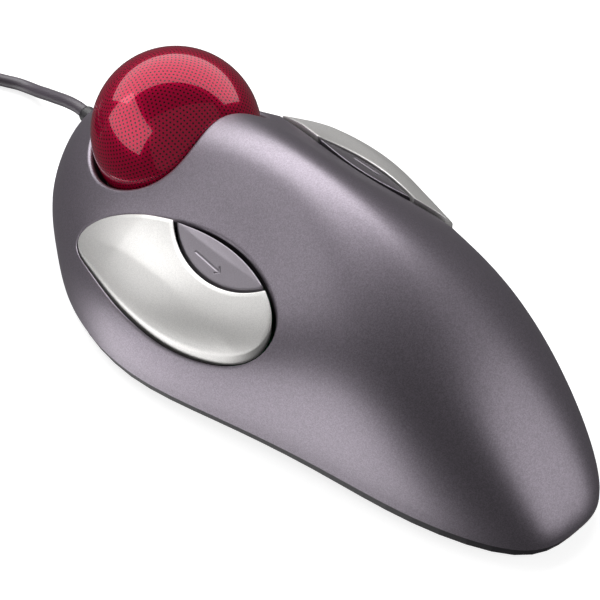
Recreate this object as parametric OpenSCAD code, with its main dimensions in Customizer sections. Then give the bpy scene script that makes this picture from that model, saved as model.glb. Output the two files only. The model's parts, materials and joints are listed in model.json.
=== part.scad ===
// Desktop trackball with four buttons, in millimetres.
// +Y points to the nose, where the cable leaves. +Z is up. The rubber feet stand on z = 0.

/* [Body] */
// Length of the body along Y
body_l = 166; // [160:1:170]
// Width of the body along X
body_w = 86; // [84:1:90]
// Height of the parting line between shell and base
seam_z = 4; // [4:0.5:5]
// Wall thickness of the shell
wall = 2.2; // [1.8:0.1:2.6]
// How steeply the rim of the shell rolls over
rim_power = 6.2; // [5:0.1:8]

/* [Ball] */
// Diameter of the ball
ball_d = 40; // [40:0.5:40]
// Distance of the ball ahead of the middle
ball_y = 47.5; // [47:0.5:48]
// Height of the centre of the ball
ball_z = 27.5; // [27:0.5:28]
// Gap between the ball and its socket
socket_gap = 1; // [0.8:0.1:1.2]
// Diameter of the hole under the ball, to push it out
eject_d = 10; // [8:1:11]

/* [Buttons] */
// How far the large buttons stand above the shell
button_rise = 1.6; // [1:0.1:2]
// How far the small buttons stand above the shell
small_rise = 1; // [0.5:0.1:1.5]
// Radius of the arc that parts the small button from the large one
arc_r = 26.5; // [26:0.1:27]
// Gap between the small button and the large one
arc_gap = 0.8; // [0.6:0.1:1]
// Running clearance of pins and stems in their bores
running = 0.05; // [0.02:0.01:0.08]

/* [Cable] */
// Diameter of the cable
cable_d = 3.2; // [3:0.1:3.3]
// Height at which the cable leaves the nose
cable_z = 9.5; // [9:0.5:10]

/* [Hidden] */

// Heights of the spine of the shell, at nine stations from the palm end to the nose
crest = [19, 32, 42.5, 47.5, 48.5, 46, 39.5, 31.5, 23.5];
// Heights of the flanks beside the spine, at the same stations
flank = [17, 24.5, 29, 27.5, 25, 24.5, 22, 19, 16.5];
// How wide the spine spreads, at the same stations
spread = [28, 27.5, 26, 22.5, 18.5, 19, 20, 18.5, 16.5];
// Control points of the right half of the plan outline, palm end first
plan_points = [
    [0, -83.5], [12.5, -82.5], [24, -59], [29, -33.5], [37, -8.5], [44.5, 13.5],
    [41.5, 36.5], [32.5, 52.5], [22, 70], [8, 81], [0, 83.5]
];
// Control points of the leaf that the buttons of the right flank share, front tip first
leaf_points = [
    [33, 46.5], [27, 41], [23.5, 30.5], [19.5, 14.5], [19, 1], [22.5, -12], [26.5, -17],
    [31, -14], [35, -5], [39, 8], [39, 22], [36, 35], [32, 42.5]
];
leaf_tip = [31.3, 45.7];
arc_centre = [0, 6.3];
side_power = 1 / 1.84;

// Heights inside the body
base_under = 1;
base_top = 3;
board_z = 5.5;
board_t = 1.6;
board_top = board_z + board_t;
ball_at = [0, ball_y, ball_z];
ball_r = ball_d / 2;
socket_r = ball_r + socket_gap;
cup_r = socket_r + 2;
cup_top = 15;
foot_places = [[28, 36], [-28, 36], [12, -66], [-12, -66]];
screw_places = [[17.5, 65.5], [-17.5, 65.5], [14, -48], [-14, -48]];
board_screw_places = [[24, -20], [-24, -20], [0, -4]];
switch_place = [31, 2];
stem_place = [23, 6.3];
hinge_y = 40;
hinge_z = 10.5;
hinge_x = 28.8;
pin_r = 1;
stem_r = 1.5;
switch_top = board_top + 6.5;
tact_top = board_top + 3.5;
button_gap = 0.1;
stem_gap = 0.05;
sleeve_r = 2.2;
web_top_inset = 1.2;

// Route of the cable on its way to the coil, one point every few diameters
cable_route = [
    [0, 84, 9.5], [0, 86, 9.5], [0, 88.3, 9.1], [0, 91.5, 8.2], [0, 95.5, 6.7], [0, 100, 5],
    [0.1, 104, 3.3],
    [-0.1, 108, 2.1], [-1.1, 111.5, 1.7], [-3, 115, 1.6], [-6.2, 121, 1.6], [-9.1, 127, 1.6],
    [-11.6, 132.8, 1.6], [-13.4, 138, 1.6], [-15, 143.1, 1.6]
];
lead_route = [
    [0, 72, 9.5], [0, 70, 9.5], [-1.5, 67.3, 7.7], [-6, 64, 5.4], [-12, 59, 5.2], [-15, 51, 5.2],
    [-15, 42, 5.4], [-15, 36, 6.8], [-14.3, 31.5, 9.3], [-14, 27.5, 10.6], [-14, 23.9, 10.6]
];
coil_at = [-38, 139];
coil_r = 18.5;
coil_w = 13.2;
coil_h = 13;
tie_slack = 0.3;
plug_at = [-57, 150];
plug_turn = 210;

// Uniform cubic B-spline through four neighbouring values
function blend4(a, b, c, d, f) =
    ((1 - f) ^ 3 * a + (3 * f ^ 3 - 6 * f ^ 2 + 4) * b
        + (-3 * f ^ 3 + 3 * f ^ 2 + 3 * f + 1) * c + f ^ 3 * d) / 6;

// Value of a station list at a place y along the body
function at_station(list, y) =
    let (n = len(list) - 1, u = min(n - 0.0001, max(0, (y / 165 + 0.5) * n)), i = floor(u),
        first = i == 0 ? 2 * list[0] - list[1] : list[i - 1],
        last = i + 2 > n ? 2 * list[n] - list[n - 1] : list[i + 2])
    blend4(first, list[i], list[i + 1], last, u - i);

// Closed B-spline with a number of points for each control point
function closed_spline(points, steps) =
    let (n = len(points))
    [for (i = [0 : n - 1], k = [0 : steps - 1])
        blend4(points[(i + n - 1) % n], points[i], points[(i + 1) % n], points[(i + 2) % n], k / steps)];

// The plan outline, sized to the length and width of the body
half_count = len(plan_points);
plan_ring = concat(plan_points,
    [for (i = [half_count - 2 : -1 : 1]) [-plan_points[i].x, plan_points[i].y]]);
raw_outline = closed_spline(plan_ring, 4);
raw_w = 2 * max([for (p = raw_outline) p.x]);
raw_back = min([for (p = raw_outline) p.y]);
raw_l = max([for (p = raw_outline) p.y]) - raw_back;
outline = [for (p = raw_outline) [p.x * body_w / raw_w, (p.y - raw_back) * body_l / raw_l - body_l / 2]];

// Distance from the middle to the outline, by the angle from the palm end
edge_table = [for (p = outline) if (p.x >= -0.001) [atan2(abs(p.x), -p.y), norm(p)]];
function edge_r(x, y) = lookup(atan2(abs(x), -y), edge_table);

// Height of the outer skin above the point x, y
function spine_z(x, y) =
    let (low = at_station(flank, y))
    low + (at_station(crest, y) - low) * exp(-(x / at_station(spread, y)) ^ 2);
function roll_off(s) = max(0, 1 - min(1, s) ^ rim_power) ^ side_power;
function skin_z(x, y) = seam_z + (spine_z(x, y) - seam_z) * roll_off(norm([x, y]) / edge_r(x, y));

// Faces between stacked rings of points, and from a ring to the point that closes it
function turned(faces) = [for (f = faces) [f[2], f[1], f[0]]];
function stack_faces(rings, count) =
    [for (i = [0 : rings - 2], k = [0 : count - 1], half = [0, 1])
        let (a = i * count + k, b = i * count + (k + 1) % count)
        half == 0 ? [b, a, b + count] : [b + count, a, a + count]];
function cap_faces(first, count, centre) =
    [for (k = [0 : count - 1]) [first + (k + 1) % count, first + k, centre]];

// Solid under the skin, with its outline moved in and its skin moved down by inset
module skin_solid(inset, rings) {
    count = len(outline);
    side = [for (p = outline) p * (1 - inset / norm(p))];
    levels = [for (i = [0 : rings - 1]) sin(90 - 88 * i / (rings - 1))];
    top = [for (s = levels, p = side)
        [p.x * s, p.y * s, seam_z + (spine_z(p.x * s, p.y * s) - inset - seam_z) * roll_off(s)]];
    points = concat(top, [[0, 0, spine_z(0, 0) - inset], [0, 0, seam_z]]);
    polyhedron(points, concat(stack_faces(rings, count),
        cap_faces((rings - 1) * count, count, rings * count),
        turned(cap_faces(0, count, rings * count + 1))), convexity = 6);
}

// Plan of the leaf opening's buttons and of the opening itself
module leaf_plan() {
    polygon(closed_spline(leaf_points, 4));
}
module leaf_opening_plan() {
    offset(delta = 0.15)
        translate(leaf_tip)
            scale([1.07, 1.012])
                translate(-leaf_tip)
                    leaf_plan();
}

// Strip of skin over the leaf: a grid raised by rise at the back and flush at the front tip
leaf_x = [for (x = [17 : 2 : 43]) x];
leaf_y = [for (y = [-22 : 3 : 50]) y];
function rise_at(x, y, rise) = rise * min(1, max(0, (leaf_tip.y - y) / 16)) * min(1, max(0, (40 - x) / 8));
module leaf_slab(rise, thickness) {
    nx = len(leaf_x);
    ny = len(leaf_y);
    grid = [for (y = leaf_y, x = leaf_x) [x, y, skin_z(x, y) + rise_at(x, y, rise)]];
    low = [for (p = grid) p - [0, 0, thickness]];
    size = nx * ny;
    edge = concat([for (i = [0 : nx - 1]) i], [for (j = [1 : ny - 1]) j * nx + nx - 1],
        [for (i = [nx - 2 : -1 : 0]) (ny - 1) * nx + i], [for (j = [ny - 2 : -1 : 1]) j * nx]);
    cells = [for (j = [0 : ny - 2], i = [0 : nx - 2]) j * nx + i];
    polyhedron(concat(grid, low), concat(
        [for (a = cells) [a, a + nx, a + nx + 1]],
        [for (a = cells) [a, a + nx + 1, a + 1]],
        [for (a = cells) [a + size, a + nx + 1 + size, a + nx + size]],
        [for (a = cells) [a + size, a + 1 + size, a + nx + 1 + size]],
        [for (k = [0 : len(edge) - 1]) let (a = edge[k], b = edge[(k + 1) % len(edge)]) [a, b, b + size]],
        [for (k = [0 : len(edge) - 1]) let (a = edge[k], b = edge[(k + 1) % len(edge)]) [a, b + size, a + size]]
    ), convexity = 6);
}

module left_side() {
    mirror([1, 0, 0])
        children();
}

// Direction of the optics, from the middle of the ball back and down
module along_optics(distance) {
    translate(ball_at)
        rotate([118, 0, 0])
            translate([0, 0, distance])
                children();
}

// ---- casing ----

module top_shell() {
    color([0.45, 0.42, 0.47])
        resize([body_w, body_l, 0])
            difference() {
                skin_solid(0, 14);
                difference() {
                    translate([0, 0, -0.01])
                        skin_solid(wall, 10);
                    intersection() {
                        translate(ball_at)
                            sphere(r = cup_r, $fn = 48);
                        translate([-30, ball_y - 30, cup_top + 0.3])
                            cube([60, 60, 60]);
                    }
                    for (p = screw_places)
                        translate([p.x, p.y, base_top + 3])
                            cylinder(r = 3.2, h = 50, $fn = 20);
                }
                translate(ball_at)
                    sphere(r = socket_r, $fn = 60);
                translate([0, ball_y, 0])
                    cylinder(r = cup_r + 0.1, h = cup_top + 0.3, $fn = 64);
                for (side = [0, 1])
                    mirror([side, 0, 0])
                        translate([0, 0, seam_z + 1])
                            linear_extrude(60)
                                leaf_opening_plan();
                for (p = screw_places)
                    translate([p.x, p.y, 0])
                        cylinder(r = 1.3, h = 11, $fn = 16);
                along_optics(15)
                    cylinder(r = 2.5, h = 12, $fn = 24);
                translate([0, 74, cable_z])
                    rotate([-90, 0, 0])
                        cylinder(r = sleeve_r + 0.1, h = 20, $fn = 24);
            }
}

module base() {
    inset = 1.2;
    color([0.16, 0.15, 0.17])
        difference() {
            union() {
                translate([0, 0, base_under])
                    linear_extrude(base_top - base_under)
                        polygon([for (p = outline) p * (1 - inset / norm(p))]);
                translate([0, 0, base_top])
                    linear_extrude(seam_z - 0.05 - base_top)
                        difference() {
                            polygon([for (p = outline) p * (1 - inset / norm(p))]);
                            polygon([for (p = outline) p * (1 - (inset + 1.6) / norm(p))]);
                        }
                for (p = screw_places)
                    translate([p.x, p.y, base_top - 0.5])
                        cylinder(r = 2.8, h = 3.4, $fn = 32);
                for (p = board_screw_places)
                    translate([p.x, p.y, base_top - 0.5])
                        cylinder(r = 2.4, h = board_z - base_top + 0.5, $fn = 32);
            }
            translate([0, ball_y, 0])
                cylinder(d = eject_d, h = 10, $fn = 48);
            for (p = screw_places)
                translate([p.x, p.y, 0]) {
                    cylinder(r = 1.6, h = 10, $fn = 32);
                    cylinder(r = 3, h = base_under + 1.8, $fn = 32);
                }
            for (p = board_screw_places)
                translate([p.x, p.y, base_under + 1])
                    cylinder(r = 1.05, h = 10, $fn = 24);
            for (p = foot_places)
                translate([p.x, p.y, 0])
                    cylinder(r = 5.1, h = base_under + 0.5, $fn = 48);
            translate([-20, -40, 0])
                cube([40, 24, base_under + 0.3]);
        }
}

module rubber_feet() {
    color([0.1, 0.1, 0.1])
        for (p = foot_places)
            translate([p.x, p.y, 0])
                cylinder(r = 5, h = base_under + 0.5, $fn = 48);
}

module blank_label() {
    color([0.75, 0.75, 0.77])
        translate([-19.8, -39.8, base_under + 0.1])
            cube([39.6, 23.6, 0.2]);
}

module case_screws() {
    color([0.6, 0.6, 0.62])
        for (p = screw_places)
            translate([p.x, p.y, base_under + 0.3])
                difference() {
                    union() {
                        cylinder(r = 2.7, h = 1.5, $fn = 32);
                        cylinder(r = 1.25, h = 9, $fn = 24);
                    }
                    for (turn = [0, 90])
                        rotate([0, 0, turn])
                            translate([-1.5, -0.3, -0.1])
                                cube([3, 0.6, 0.9]);
                }
}

// ---- ball and its socket ----

module ball() {
    color([0.6, 0.03, 0.1])
        translate(ball_at)
            sphere(r = ball_r, $fn = 96);
}

bearing_r = 1.5;
bearing_tilt = 45;
module at_bearings() {
    for (turn = [90, 210, 330])
        translate(ball_at)
            rotate([0, 0, turn])
                rotate([0, 180 - bearing_tilt, 0])
                    translate([0, 0, ball_r + bearing_r + 0.02])
                        children();
}

module ball_cup() {
    color([0.1, 0.1, 0.11])
        difference() {
            union() {
                intersection() {
                    translate(ball_at)
                        sphere(r = cup_r, $fn = 96);
                    translate([-30, ball_y - 30, 0])
                        cube([60, 60, cup_top]);
                }
                at_bearings()
                    sphere(r = 2.6, $fn = 32);
                translate([0, ball_y, base_top])
                    cylinder(r = 10, h = 5, $fn = 64);
            }
            translate(ball_at)
                sphere(r = socket_r, $fn = 96);
            translate([0, ball_y, base_top - 1])
                cylinder(d = eject_d, h = 8, $fn = 48);
            at_bearings()
                sphere(r = bearing_r, $fn = 48);
            along_optics(15)
                cylinder(r = 2.5, h = 12, $fn = 32);
        }
}

module support_bearings() {
    color([0.9, 0.9, 0.88])
        at_bearings()
            sphere(r = bearing_r, $fn = 48);
}

// ---- buttons ----

module large_button() {
    color([0.72, 0.71, 0.68])
        union() {
            resize([0, 0, 0])
                intersection() {
                    union() {
                        leaf_slab(button_rise, 3.2);
                        intersection() {
                            skin_solid(web_top_inset, 14);
                            translate([hinge_x - 2.4, hinge_y - 2.2, hinge_z + 1.4])
                                cube([4.8, 4.4, 14]);
                        }
                    }
                    translate([0, 0, 5])
                        linear_extrude(50)
                            difference() {
                                leaf_plan();
                                translate(arc_centre)
                                    circle(r = arc_r + arc_gap, $fn = 120);
                            }
                }
            difference() {
                translate([hinge_x, hinge_y, hinge_z])
                    rotate([0, 90, 0])
                        cylinder(r = 2.2, h = 4.8, center = true, $fn = 40);
                translate([hinge_x, hinge_y, hinge_z])
                    rotate([0, 90, 0])
                        cylinder(r = pin_r + running, h = 10, center = true, $fn = 40);
            }
            translate([switch_place.x, switch_place.y, switch_top + 1 + button_gap])
                cylinder(r = 1.6, h = 8, $fn = 32);
        }
}

module small_button() {
    color([0.55, 0.52, 0.57])
        union() {
            resize([0, 0, 0])
                intersection() {
                    leaf_slab(small_rise, 3);
                    translate([0, 0, 5])
                        linear_extrude(50)
                            intersection() {
                                leaf_plan();
                                translate(arc_centre)
                                    circle(r = arc_r, $fn = 120);
                            }
                }
            translate([stem_place.x, stem_place.y, tact_top + 1 + stem_gap])
                cylinder(r = stem_r, h = 17, $fn = 40);
        }
}

module right_button() {
    large_button();
}
module left_button() {
    left_side()
        large_button();
}
module right_small_button() {
    small_button();
}
module left_small_button() {
    left_side()
        small_button();
}

module hinge_bracket() {
    color([0.2, 0.2, 0.22])
        difference() {
            union() {
                for (x = [hinge_x - 4.3, hinge_x + 2.7])
                    translate([x, hinge_y - 2, base_top]) {
                        cube([1.6, 4, hinge_z - base_top]);
                        translate([0, 2, hinge_z - base_top])
                            rotate([0, 90, 0])
                                cylinder(r = 2, h = 1.6, $fn = 40);
                    }
                translate([hinge_x - 4.3, hinge_y - 2, base_top])
                    cube([8.6, 4, 2]);
            }
            translate([hinge_x, hinge_y, hinge_z])
                rotate([0, 90, 0])
                    cylinder(r = pin_r, h = 12, center = true, $fn = 40);
        }
}
module hinge_pin() {
    color([0.8, 0.8, 0.82])
        translate([hinge_x, hinge_y, hinge_z])
            rotate([0, 90, 0])
                cylinder(r = pin_r, h = 8.6, center = true, $fn = 40);
}
module right_hinge_bracket() {
    hinge_bracket();
}
module left_hinge_bracket() {
    left_side()
        hinge_bracket();
}
module right_hinge_pin() {
    hinge_pin();
}
module left_hinge_pin() {
    left_side()
        hinge_pin();
}

module stem_guide() {
    color([0.85, 0.85, 0.82])
        translate([stem_place.x, stem_place.y, board_top])
            difference() {
                union() {
                    for (y = [-5, 3.5])
                        translate([-2.5, y, 0])
                            cube([5, 1.5, 7]);
                    translate([-2.5, -5, 7])
                        cube([5, 10, 1.5]);
                    translate([0, 0, 7])
                        cylinder(r = 2.5, h = 6, $fn = 40);
                }
                cylinder(r = stem_r + running, h = 20, $fn = 40);
            }
}
module right_stem_guide() {
    stem_guide();
}
module left_stem_guide() {
    left_side()
        stem_guide();
}

// ---- electronics ----

module circuit_board() {
    color([0.08, 0.35, 0.16])
        difference() {
            translate([0, 0, board_z])
                linear_extrude(board_t)
                    polygon([[-34, 30], [-34, -2], [-26, -30], [26, -30], [34, -2], [34, 30]]);
            translate([0, ball_y, 0])
                cylinder(r = 19, h = 20, $fn = 64);
            for (p = board_screw_places)
                translate([p.x, p.y, 0])
                    cylinder(r = 1.3, h = 20, $fn = 24);
        }
}

module board_screws() {
    color([0.75, 0.72, 0.6])
        for (p = board_screw_places)
            translate([p.x, p.y, base_under + 1.5]) {
                cylinder(r = 1, h = board_top - base_under - 1.4, $fn = 24);
                translate([0, 0, board_top - base_under - 1.5])
                    cylinder(r = 2.1, h = 1.3, $fn = 32);
            }
}

module main_switch() {
    color([0.12, 0.12, 0.13])
        translate([switch_place.x, switch_place.y, board_top])
            difference() {
                translate([-2.9, -6.4, 0])
                    cube([5.8, 12.8, 6.5]);
                translate([-0.75, -1.6, 3.5])
                    cube([1.5, 3.2, 4]);
            }
}
module main_plunger() {
    color([0.85, 0.1, 0.1])
        translate([switch_place.x - 0.7, switch_place.y - 1.5, switch_top - 2])
            cube([1.4, 3, 3]);
}
module right_main_switch() {
    main_switch();
}
module left_main_switch() {
    left_side()
        main_switch();
}
module right_main_plunger() {
    main_plunger();
}
module left_main_plunger() {
    left_side()
        main_plunger();
}

module small_switch() {
    color([0.15, 0.15, 0.16])
        translate([stem_place.x, stem_place.y, board_top])
            difference() {
                translate([-3, -3, 0])
                    cube([6, 6, 3.5]);
                translate([0, 0, 1.2])
                    cylinder(r = 1.75 + running, h = 4, $fn = 40);
            }
}
module small_plunger() {
    color([0.9, 0.9, 0.85])
        translate([stem_place.x, stem_place.y, tact_top - 1.5])
            cylinder(r = 1.75, h = 2.5, $fn = 40);
}
module right_small_switch() {
    small_switch();
}
module left_small_switch() {
    left_side()
        small_switch();
}
module right_small_plunger() {
    small_plunger();
}
module left_small_plunger() {
    left_side()
        small_plunger();
}

module sensor_holder() {
    color([0.13, 0.13, 0.14])
        difference() {
            union() {
                along_optics(24.5)
                    translate([-6, -4, 0])
                        cube([12, 8, 6.5]);
                translate([-6, 23, board_top])
                    cube([12, 3.5, 4.5]);
            }
            along_optics(24)
                cylinder(r = 2.6, h = 8, $fn = 32);
            along_optics(24)
                translate([4.3, 0, 0])
                    cylinder(r = 1.05, h = 8, $fn = 24);
        }
}
module sensor_lens() {
    color([0.8, 0.9, 0.95])
        along_optics(26)
            cylinder(r = 2.55, h = 2.5, $fn = 32);
}
module sensor_chip() {
    color([0.08, 0.08, 0.09])
        along_optics(31.05)
            translate([-5, -3.8, 0])
                cube([10, 7.6, 1.8]);
}
module sensor_led() {
    color([0.9, 0.2, 0.2])
        along_optics(25)
            translate([4.3, 0, 0])
                cylinder(r = 1, h = 5.5, $fn = 24);
}

module controller_chip() {
    color([0.07, 0.07, 0.08])
        translate([-6, -18, board_top])
            cube([12, 8, 2]);
}
module crystal() {
    color([0.8, 0.8, 0.82])
        translate([12, -13, board_top])
            hull()
                for (x = [-3, 3])
                    translate([x, 0, 0])
                        cylinder(r = 2.2, h = 3.5, $fn = 32);
}
module capacitor() {
    color([0.15, 0.18, 0.4])
        translate([-13, -12, board_top])
            cylinder(r = 2.5, h = 7, $fn = 32);
}
module cable_header() {
    color([0.9, 0.89, 0.84])
        translate([-20, 12, board_top])
            difference() {
                cube([12, 6, 6]);
                translate([1, 1, 1.5])
                    cube([10, 6, 5]);
            }
}
module cable_socket() {
    color([0.93, 0.93, 0.9])
        translate([-18.9, 13.1, board_top + 1.6])
            cube([9.8, 10.8, 3.8]);
}

// Tube of round section swept along a route
function unit(v) = v / norm(v);
function route_dir(route, i) = unit(route[min(len(route) - 1, i + 1)] - route[max(0, i - 1)]);
module tube(route, r, sides) {
    n = len(route);
    points = [for (i = [0 : n - 1])
        let (t = route_dir(route, i), s = unit(cross(t, [0, 0, 1])), u = cross(s, t))
        for (k = [0 : sides - 1])
            let (a = 360 * (k + 0.5) / sides) route[i] + r * (cos(a) * s + sin(a) * u)];
    polyhedron(concat(points, [route[0], route[n - 1]]), concat(
        turned(stack_faces(n, sides)),
        turned(cap_faces((n - 1) * sides, sides, n * sides + 1)),
        cap_faces(0, sides, n * sides)), convexity = 8);
}

// ---- cable ----

module inner_lead() {
    color([0.1, 0.1, 0.11])
        tube(lead_route, cable_d / 2, 8);
}

module strain_relief() {
    color([0.12, 0.11, 0.12])
        translate([0, 0, cable_z])
            rotate([-90, 0, 0])
                rotate_extrude($fn = 48)
                    polygon([[0, 72], [3.6, 72], [3.6, 73.6], [sleeve_r, 73.6], [sleeve_r, 83], [1.9, 84], [0, 84]]);
}

module cable() {
    color([0.2, 0.18, 0.2])
        tube(cable_route, cable_d / 2, 8);
}

module cable_coil() {
    color([0.2, 0.18, 0.2])
        translate([coil_at.x, coil_at.y, 0])
            rotate_extrude($fn = 72)
                translate([coil_r - coil_w / 2, 0])
                    square([coil_w, coil_h]);
}

module cable_tie() {
    color([0.1, 0.1, 0.1])
        translate([coil_at.x, coil_at.y, 0])
            rotate([0, 0, 300])
                translate([coil_r - coil_w / 2 - 1, -2, 0])
                    difference() {
                        cube([coil_w + 2, 4, coil_h + 1]);
                        translate([1 - tie_slack, -1, -1])
                            cube([coil_w + tie_slack, 6, coil_h + 1]);
                    }
}

module at_plug() {
    translate([plug_at.x, plug_at.y, coil_h + 4])
        rotate([0, 0, plug_turn])
            children();
}
module plug_overmould() {
    color([0.12, 0.11, 0.12])
        at_plug()
            difference() {
                hull() {
                    translate([-10, -7.5, -4])
                        cube([26, 15, 8]);
                    translate([-22, -2.5, -2.5])
                        cube([1, 5, 5]);
                }
                translate([6, -5.9, -2.1])
                    cube([12, 11.8, 4.2]);
            }
}
module plug_shell() {
    color([0.8, 0.8, 0.82])
        at_plug()
            difference() {
                translate([6, -5.9, -2.1])
                    cube([22, 11.8, 4.2]);
                translate([7, -5.6, -1.8])
                    cube([22, 11.2, 3.6]);
                for (y = [-2.6, 2.6], z = [-2.5, 1.5])
                    translate([20, y - 1.1, z])
                        cube([2.4, 2.2, 1]);
            }
}
module plug_tongue() {
    color([0.92, 0.92, 0.9])
        at_plug()
            translate([7, -5.55, 0])
                cube([20.5, 11.1, 1.75]);
}
module plug_contacts() {
    color([0.85, 0.7, 0.3])
        at_plug()
            for (y = [-3.5, -1, 1, 3.5])
                translate([12, y - 0.5, -0.2])
                    cube([14, 1, 0.2]);
}

top_shell();
base();
rubber_feet();
blank_label();
case_screws();
ball();
ball_cup();
support_bearings();
left_button();
right_button();
left_small_button();
right_small_button();
left_hinge_bracket();
right_hinge_bracket();
left_hinge_pin();
right_hinge_pin();
left_stem_guide();
right_stem_guide();
circuit_board();
board_screws();
left_main_switch();
right_main_switch();
left_main_plunger();
right_main_plunger();
left_small_switch();
right_small_switch();
left_small_plunger();
right_small_plunger();
sensor_holder();
sensor_lens();
sensor_chip();
sensor_led();
controller_chip();
crystal();
capacitor();
cable_header();
cable_socket();
inner_lead();
strain_relief();
cable();
cable_coil();
cable_tie();
plug_overmould();
plug_shell();
plug_tongue();
plug_contacts();
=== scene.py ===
"""Looks of the desktop trackball. Lengths are in millimetres until a mesh is made, then in metres."""
import json
import math

import bmesh
import bpy
import numpy as np
from mathutils import Matrix, Vector
from mathutils.geometry import delaunay_2d_cdt


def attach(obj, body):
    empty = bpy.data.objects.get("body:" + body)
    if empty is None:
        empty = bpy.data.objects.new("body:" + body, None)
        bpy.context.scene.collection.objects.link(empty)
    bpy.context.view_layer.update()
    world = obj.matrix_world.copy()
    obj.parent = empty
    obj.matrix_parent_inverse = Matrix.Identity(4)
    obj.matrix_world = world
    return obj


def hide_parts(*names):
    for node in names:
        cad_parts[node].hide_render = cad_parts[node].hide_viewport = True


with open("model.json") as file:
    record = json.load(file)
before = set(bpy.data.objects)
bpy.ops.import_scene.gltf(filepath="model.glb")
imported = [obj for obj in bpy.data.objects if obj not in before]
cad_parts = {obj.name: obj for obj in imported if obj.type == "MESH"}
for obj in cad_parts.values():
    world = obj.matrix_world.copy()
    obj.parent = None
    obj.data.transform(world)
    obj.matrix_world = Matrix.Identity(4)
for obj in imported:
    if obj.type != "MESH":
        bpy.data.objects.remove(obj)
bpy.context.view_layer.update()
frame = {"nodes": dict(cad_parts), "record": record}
MM = 0.001

# ---- the shape of the body ----
#
# The same control points and sizes as in the CAD source, but for the front tip of the buttons'
# leaf, which is a little rounder, and the arc between its two buttons, which is 0.5 mm smaller.

BODY_L = 166
BODY_W = 86
STATIONS_L = 165
SEAM_Z = 4
WALL = 2.2
RIM_POWER = 6.2
SIDE_POWER = 1 / 1.84
CREST = [19, 32, 42.5, 47.5, 48.5, 46, 39.5, 31.5, 23.5]
FLANK = [17, 24.5, 29, 27.5, 25, 24.5, 22, 19, 16.5]
SPREAD = [28, 27.5, 26, 22.5, 18.5, 19, 20, 18.5, 16.5]
PLAN_POINTS = [
    (0, -83.5), (12.5, -82.5), (24, -59), (29, -33.5), (37, -8.5), (44.5, 13.5),
    (41.5, 36.5), (32.5, 52.5), (22, 70), (8, 81), (0, 83.5),
]
LEAF_POINTS = [
    (31.5, 45.5), (27, 41), (23.5, 30.5), (19.5, 14.5), (19, 1), (22.5, -12), (26.5, -17),
    (31, -14), (35, -5), (39, 8), (39, 22), (36, 35), (34, 42),
]
LEAF_TIP = np.array([31.3, 45.7])
ARC_CENTRE = np.array([0, 6.3])
ARC_R = 26
ARC_GAP = 0.8
BALL_AT = np.array([0, 47.5, 27.5])
BALL_R = 20
SOCKET_R = 21
CUP_TOP = 15.3
BUTTON_RISE = 1.6
SMALL_RISE = 1
HINGE_AT = (28.8, 40, 10.5)
CABLE_D = 3.2
CABLE_Z = 9.5
SLEEVE_R = 2.2


def blend4(a, b, c, d, f):
    """Uniform cubic B-spline through four neighbouring values."""
    return (
        (1 - f) ** 3 * a + (3 * f**3 - 6 * f**2 + 4) * b
        + (-3 * f**3 + 3 * f**2 + 3 * f + 1) * c + f**3 * d
    ) / 6


def at_station(values, y):
    """Value of a station list at the places y along the body."""
    n = len(values) - 1
    ends = np.array([2 * values[0] - values[1], *values, 2 * values[-1] - values[-2]], float)
    u = np.clip((y / STATIONS_L + 0.5) * n, 0, n - 0.0001)
    i = np.floor(u).astype(int)
    return blend4(ends[i], ends[i + 1], ends[i + 2], ends[i + 3], u - i)


def closed_spline(points, steps):
    """Closed B-spline with a number of points for each control point."""
    ring = np.array(points, float)
    parts = [
        blend4(np.roll(ring, 1, 0), ring, np.roll(ring, -1, 0), np.roll(ring, -2, 0), k / steps)
        for k in range(steps)
    ]
    return np.stack(parts, 1).reshape(-1, 2)


def length_along(points):
    """Distance from the first point to each point of a line."""
    return np.concatenate([[0], np.cumsum(np.linalg.norm(np.diff(points, axis=0), axis=1))])


def evenly(points, step, closed=False):
    """The line with its points a step apart. A closed line doesn't repeat its first point."""
    line = np.vstack([points, points[:1]]) if closed else np.asarray(points, float)
    run = length_along(line)
    count = max(2, round(run[-1] / step))
    at = np.linspace(0, run[-1], count + 1)
    even = np.stack([np.interp(at, run, line[:, k]) for k in range(line.shape[1])], 1)
    return even[:-1] if closed else even


def body_outline():
    """The plan outline, sized to the length and width of the body, as a closed line."""
    left_half = [(-x, y) for x, y in PLAN_POINTS[-2:0:-1]]
    ring = closed_spline(PLAN_POINTS + left_half, 24)
    ring[:, 0] *= BODY_W / (2 * ring[:, 0].max())
    low, high = ring[:, 1].min(), ring[:, 1].max()
    ring[:, 1] = (ring[:, 1] - low) * BODY_L / (high - low) - BODY_L / 2
    return ring


def edge_table(outline):
    """Directions from the middle, counted from the palm's end, and the outline's distance."""
    right = outline[outline[:, 0] >= -0.001]
    angles = np.arctan2(np.abs(right[:, 0]), -right[:, 1])
    order = np.argsort(angles)
    return angles[order], np.linalg.norm(right, axis=1)[order]


OUTLINE = body_outline()
EDGE_ANGLES, EDGE_RADII = edge_table(OUTLINE)


def edge_r(x, y):
    """Distance from the middle to the outline, in the direction of x, y."""
    return np.interp(np.arctan2(np.abs(x), -y), EDGE_ANGLES, EDGE_RADII)


def spine_z(x, y):
    low = at_station(FLANK, y)
    return low + (at_station(CREST, y) - low) * np.exp(-((x / at_station(SPREAD, y)) ** 2))


def roll_off(s):
    return np.maximum(0, 1 - np.minimum(1, s) ** RIM_POWER) ** SIDE_POWER


def skin_z(x, y, inset=0):
    """Height of the skin, or of the surface the wall's thickness under it, above x, y."""
    share = np.hypot(x, y) / (edge_r(x, y) - inset)
    return SEAM_Z + (spine_z(x, y) - inset - SEAM_Z) * roll_off(share)


def rise_at(x, y, rise):
    """How far a button stands above the skin: flush at the front tip and the outer edge."""
    return rise * np.clip((LEAF_TIP[1] - y) / 16, 0, 1) * np.clip((40 - np.abs(x)) / 8, 0, 1)


# ---- plane geometry ----

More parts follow.
